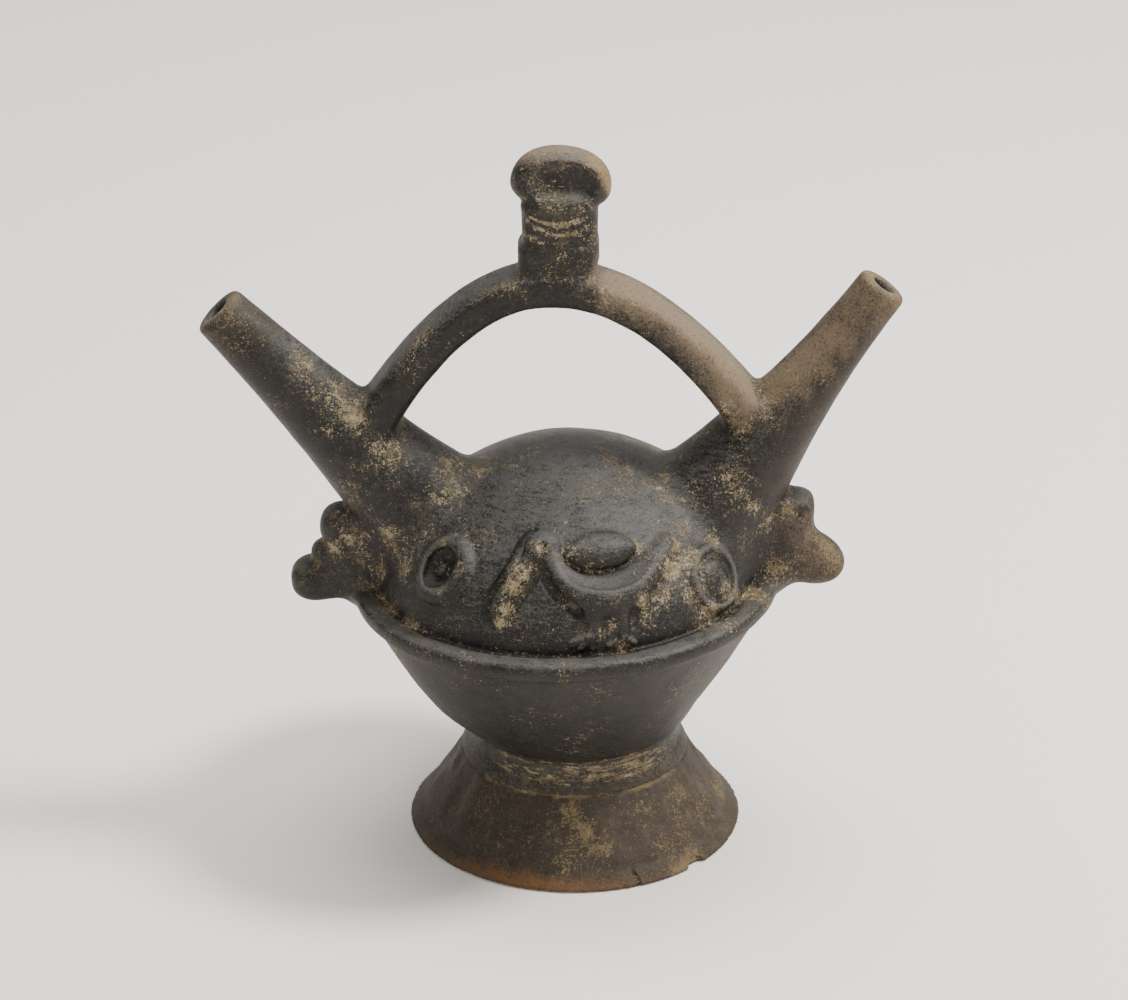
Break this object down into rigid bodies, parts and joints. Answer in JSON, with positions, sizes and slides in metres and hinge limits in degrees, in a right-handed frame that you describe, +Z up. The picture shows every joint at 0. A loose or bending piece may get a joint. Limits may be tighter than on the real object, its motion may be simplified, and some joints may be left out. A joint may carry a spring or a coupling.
{
  "type": "whistling vessel",
  "caption": "Domed pottery bottle on a hollow flared foot, with twin tapered spouts joined by a strap bridge that carries a small figure, and animal heads under the spouts.",
  "frame": {"origin": "on the ground, under the middle of the whole vessel's box", "axes": "+Z up, +X to the right along the line of the two spouts, -Y towards the front with the bird relief"},
  "size_m": [0.1902, 0.1182, 0.2014],
  "materials": {
    "blackware": "smoke-fired black pottery, burnished, with worn brown edges and tan earth in the creases"
  },
  "bodies": {
    "root": {"vessel": "blackware"}
  },
  "joints": []
}
